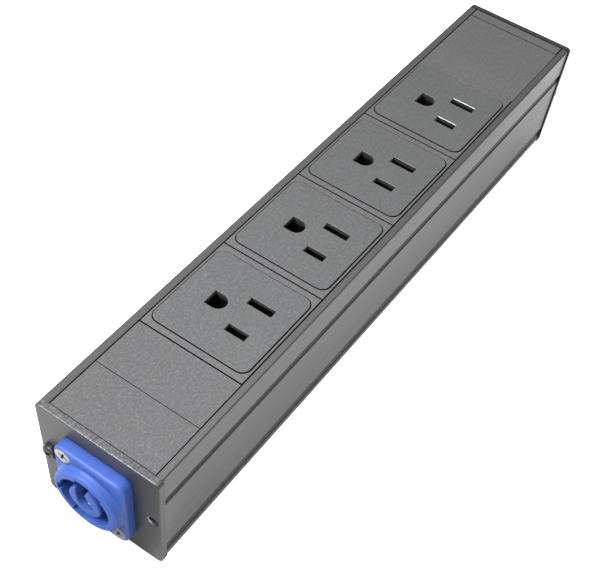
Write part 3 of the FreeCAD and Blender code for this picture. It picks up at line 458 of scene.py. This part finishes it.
# ------------------------------------------------------------ stage, light, camera
SKY_LOW, SKY_HIGH, SKY_FAR = 0.7, 3.1, 0.35
lo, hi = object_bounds()
floor_z = lo.z - 0.00005

bm = bmesh.new()
bmesh.ops.create_grid(bm, x_segments=2, y_segments=2, size=6.0)
for v in bm.verts:
    v.co.z = floor_z
me = bpy.data.meshes.new("floor")
bm.to_mesh(me)
bm.free()
floor = bpy.data.objects.new("floor", me)
bpy.context.scene.collection.objects.link(floor)
g = Graph("studio_floor")
# painted light and shade on the table: brighter on the -Y side, most just beside the strip where it cancels the key
# light's cast shadow, and on the +Y side; darker in front of and towards the near end, to steer the light bounced onto
# the part
tone = g.maths("ADD", g.span(g.axis(1), -0.014, -0.022, 0.0, 0.27), g.span(g.axis(0), -0.116, -0.134, 0.46, 0.26))
tone = g.maths("ADD", tone, g.span(g.axis(1), -0.03, -0.07, 0.0, -0.14))
tone = g.maths("ADD", tone, g.span(g.axis(1), 0.004, 0.034, 0.0, 0.34))
tone = g.maths("ADD", tone, g.span(g.axis(0), -0.085, -0.112, 0.0, -0.05))
g.done(g.tint(g.maths("MULTIPLY", tone, g.span(g.noise(3.0, 2.0), 0.3, 0.7, 0.98, 1.02)), (1, 1, 1)), 0.95, 0.0, spec=0.0)
# the table glows faintly for the camera only, so that it photographs as clean white
seen = g.node("ShaderNodeLightPath")
g.bsdf.inputs["Emission Color"].default_value = (1, 1, 1, 1)
g.put(g.maths("MULTIPLY", seen.outputs["Is Camera Ray"], 0.65), g.bsdf.inputs["Emission Strength"])
floor.data.materials.append(g.mat)

world = bpy.data.worlds.new("studio")
bpy.context.scene.world = world
world.use_nodes = True
wn, wl = world.node_tree.nodes, world.node_tree.links
bg = wn["Background"]
bg.inputs[0].default_value = (1.0, 1.0, 1.0, 1)
# softbox overhead, fading towards the horizon at the far end
sky = wn.new("ShaderNodeTexCoord")
sep = wn.new("ShaderNodeSeparateXYZ")
wl.new(sky.outputs["Generated"], sep.inputs[0])


def wmap(v, a0, a1, b0, b1):
    m = wn.new("ShaderNodeMapRange")
    m.interpolation_type = "SMOOTHSTEP"
    wl.new(v, m.inputs[0])
    for k, x in zip((1, 2, 3, 4), (a0, a1, b0, b1)):
        m.inputs[k].default_value = x
    return m.outputs[0]


mul = wn.new("ShaderNodeMath")
mul.operation = "MULTIPLY"
wl.new(wmap(sep.outputs[2], 0.15, 0.95, SKY_LOW, SKY_HIGH), mul.inputs[0])
wl.new(wmap(sep.outputs[0], 0.2, 0.9, 1.0, SKY_FAR), mul.inputs[1])
# the camera sees plain white behind the table; only the light on the part is graded
seen = wn.new("ShaderNodeLightPath")
plain = wn.new("ShaderNodeMix")
wl.new(seen.outputs["Is Camera Ray"], plain.inputs[0])
wl.new(mul.outputs[0], plain.inputs[2])
plain.inputs[3].default_value = 1.0
wl.new(plain.outputs[0], bg.inputs[1])


def area(name, loc, target, size, power):
    light = bpy.data.lights.new(name, "AREA")
    light.shape = "RECTANGLE"
    light.size, light.size_y = size
    light.energy = power
    o = bpy.data.objects.new(name, light)
    bpy.context.scene.collection.objects.link(o)
    o.location = loc
    o.rotation_euler = (Vector(target) - Vector(loc)).to_track_quat("-Z", "Y").to_euler()
    return o


area("key", (-0.44, 0.246, 0.675), (0.0, 0, 0), (0.22, 0.22), 9.0)

# the main view: off-centre framing like a cropped picture, centred for any other viewpoint
CAM = Vector((-232.955, -116.053, 282.108)) * MM
RIGHT = Vector((0.578147376695718, -0.8122766262600262, 0.07715110661221505))
DOWN = Vector((-0.6473191833114954, -0.5141800627382819, -0.5626692971892062))
FWD = Vector((0.4967126792591451, 0.2753643867933658, -0.8230740967550342))
cam_data = bpy.data.cameras.new("camera")
cam = bpy.data.objects.new("camera", cam_data)
bpy.context.scene.collection.objects.link(cam)
cam_data.sensor_fit = "HORIZONTAL"
cam_data.sensor_width = 36.0
cam_data.lens = 1016.521 / 615.0 * 36.0
cam_data.clip_start, cam_data.clip_end = 0.01, 50.0
cam.rotation_mode = "QUATERNION"
cam.location = CAM
cam.rotation_quaternion = Matrix((RIGHT, -DOWN, -FWD)).transposed().to_quaternion()


def shift_here(prop, value):
    d = cam_data.driver_add(prop).driver
    d.type = "SCRIPTED"
    for k, axis in enumerate(("x", "y", "z")):
        v = d.variables.new()
        v.name = "p" + axis
        v.type = "SINGLE_PROP"
        v.targets[0].id = cam
        v.targets[0].data_path = "location[%d]" % k
    d.expression = "%.6f if abs(px - %.6f) + abs(py - %.6f) + abs(pz - %.6f) < 0.001 else 0.0" % (
        value, CAM.x, CAM.y, CAM.z)


shift_here("shift_x", (307.5 - 282.323) / 615.0)
shift_here("shift_y", (423.762 - 285.5) / 615.0)
bpy.context.scene.camera = cam
bpy.context.scene.view_settings.view_transform = "Standard"
bpy.context.scene.view_settings.look = "None"
